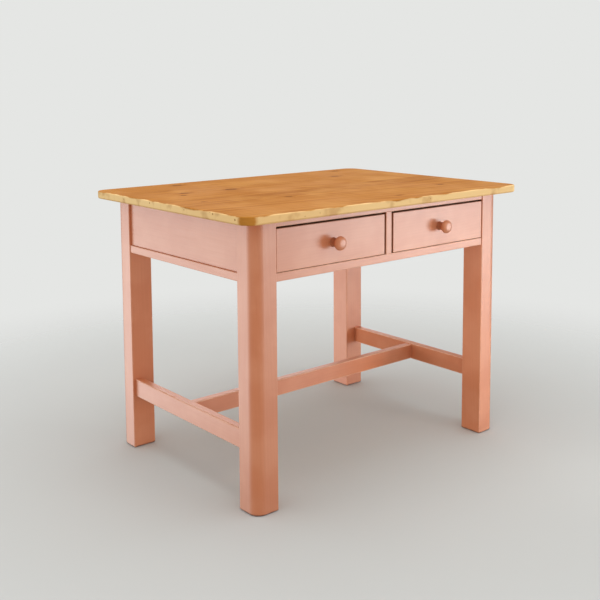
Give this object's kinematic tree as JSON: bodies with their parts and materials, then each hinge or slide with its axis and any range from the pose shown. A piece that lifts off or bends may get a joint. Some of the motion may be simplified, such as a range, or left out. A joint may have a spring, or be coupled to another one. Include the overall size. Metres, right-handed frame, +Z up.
{
  "type": "kitchen table with drawers",
  "caption": "Rectangular kitchen table with a painted frame, square legs with rounded outer corners, an H-shaped stretcher, inset drawers with turned knobs and a clear-finished pine top.",
  "frame": {"origin": "on the floor, in the middle of the four legs", "axes": "+X along the long sides towards the right-hand end, +Y from the drawers towards the back, +Z up; the drawers open towards -Y"},
  "size_m": [1.056, 0.765, 0.78],
  "materials": {
    "painted_pine": "satin furniture paint, old pink",
    "top_pine": "clear satin lacquer on honey-toned pine",
    "bare_pine": "bare planed pine",
    "brad_steel": "bright drawn wire"
  },
  "bodies": {
    "table_frame": {"back_lower_rail": "painted_pine", "back_panel": "painted_pine", "centre_guide": "bare_pine", "centre_kicker": "bare_pine", "centre_runner": "bare_pine", "centre_stretcher": "painted_pine", "drawer_divider": "painted_pine", "drawer_stops": "bare_pine", "end_guide_left": "bare_pine", "end_guide_right": "bare_pine", "end_kicker_left": "bare_pine", "end_kicker_right": "bare_pine", "end_lower_rail_left": "painted_pine", "end_lower_rail_right": "painted_pine", "end_panel_left": "painted_pine", "end_panel_right": "painted_pine", "end_runner_left": "bare_pine", "end_runner_right": "bare_pine", "end_stretcher_left": "painted_pine", "end_stretcher_right": "painted_pine", "front_lower_rail": "painted_pine", "front_top_rail": "painted_pine", "leg_back_left": "painted_pine", "leg_back_right": "painted_pine", "leg_front_left": "painted_pine", "leg_front_right": "painted_pine", "top_board_1": "top_pine", "top_board_2": "top_pine", "top_board_3": "top_pine", "top_board_4": "top_pine", "top_board_5": "top_pine", "top_board_6": "top_pine", "top_buttons": "bare_pine"},
    "drawer_left": {"drawer_left_back": "bare_pine", "drawer_left_bottom": "bare_pine", "drawer_left_brads": "brad_steel", "drawer_left_front": "painted_pine", "drawer_left_inner_side": "bare_pine", "drawer_left_knob": "painted_pine", "drawer_left_outer_side": "bare_pine"},
    "drawer_right": {"drawer_right_back": "bare_pine", "drawer_right_bottom": "bare_pine", "drawer_right_brads": "brad_steel", "drawer_right_front": "painted_pine", "drawer_right_inner_side": "bare_pine", "drawer_right_knob": "painted_pine", "drawer_right_outer_side": "bare_pine"}
  },
  "joints": [
    {"name": "drawer_left_slide", "type": "slide", "parent": "table_frame", "child": "drawer_left", "axis": [0, -1, 0], "range_m": [0, 0.4]},
    {"name": "drawer_right_slide", "type": "slide", "parent": "table_frame", "child": "drawer_right", "axis": [0, -1, 0], "range_m": [0, 0.4]}
  ]
}
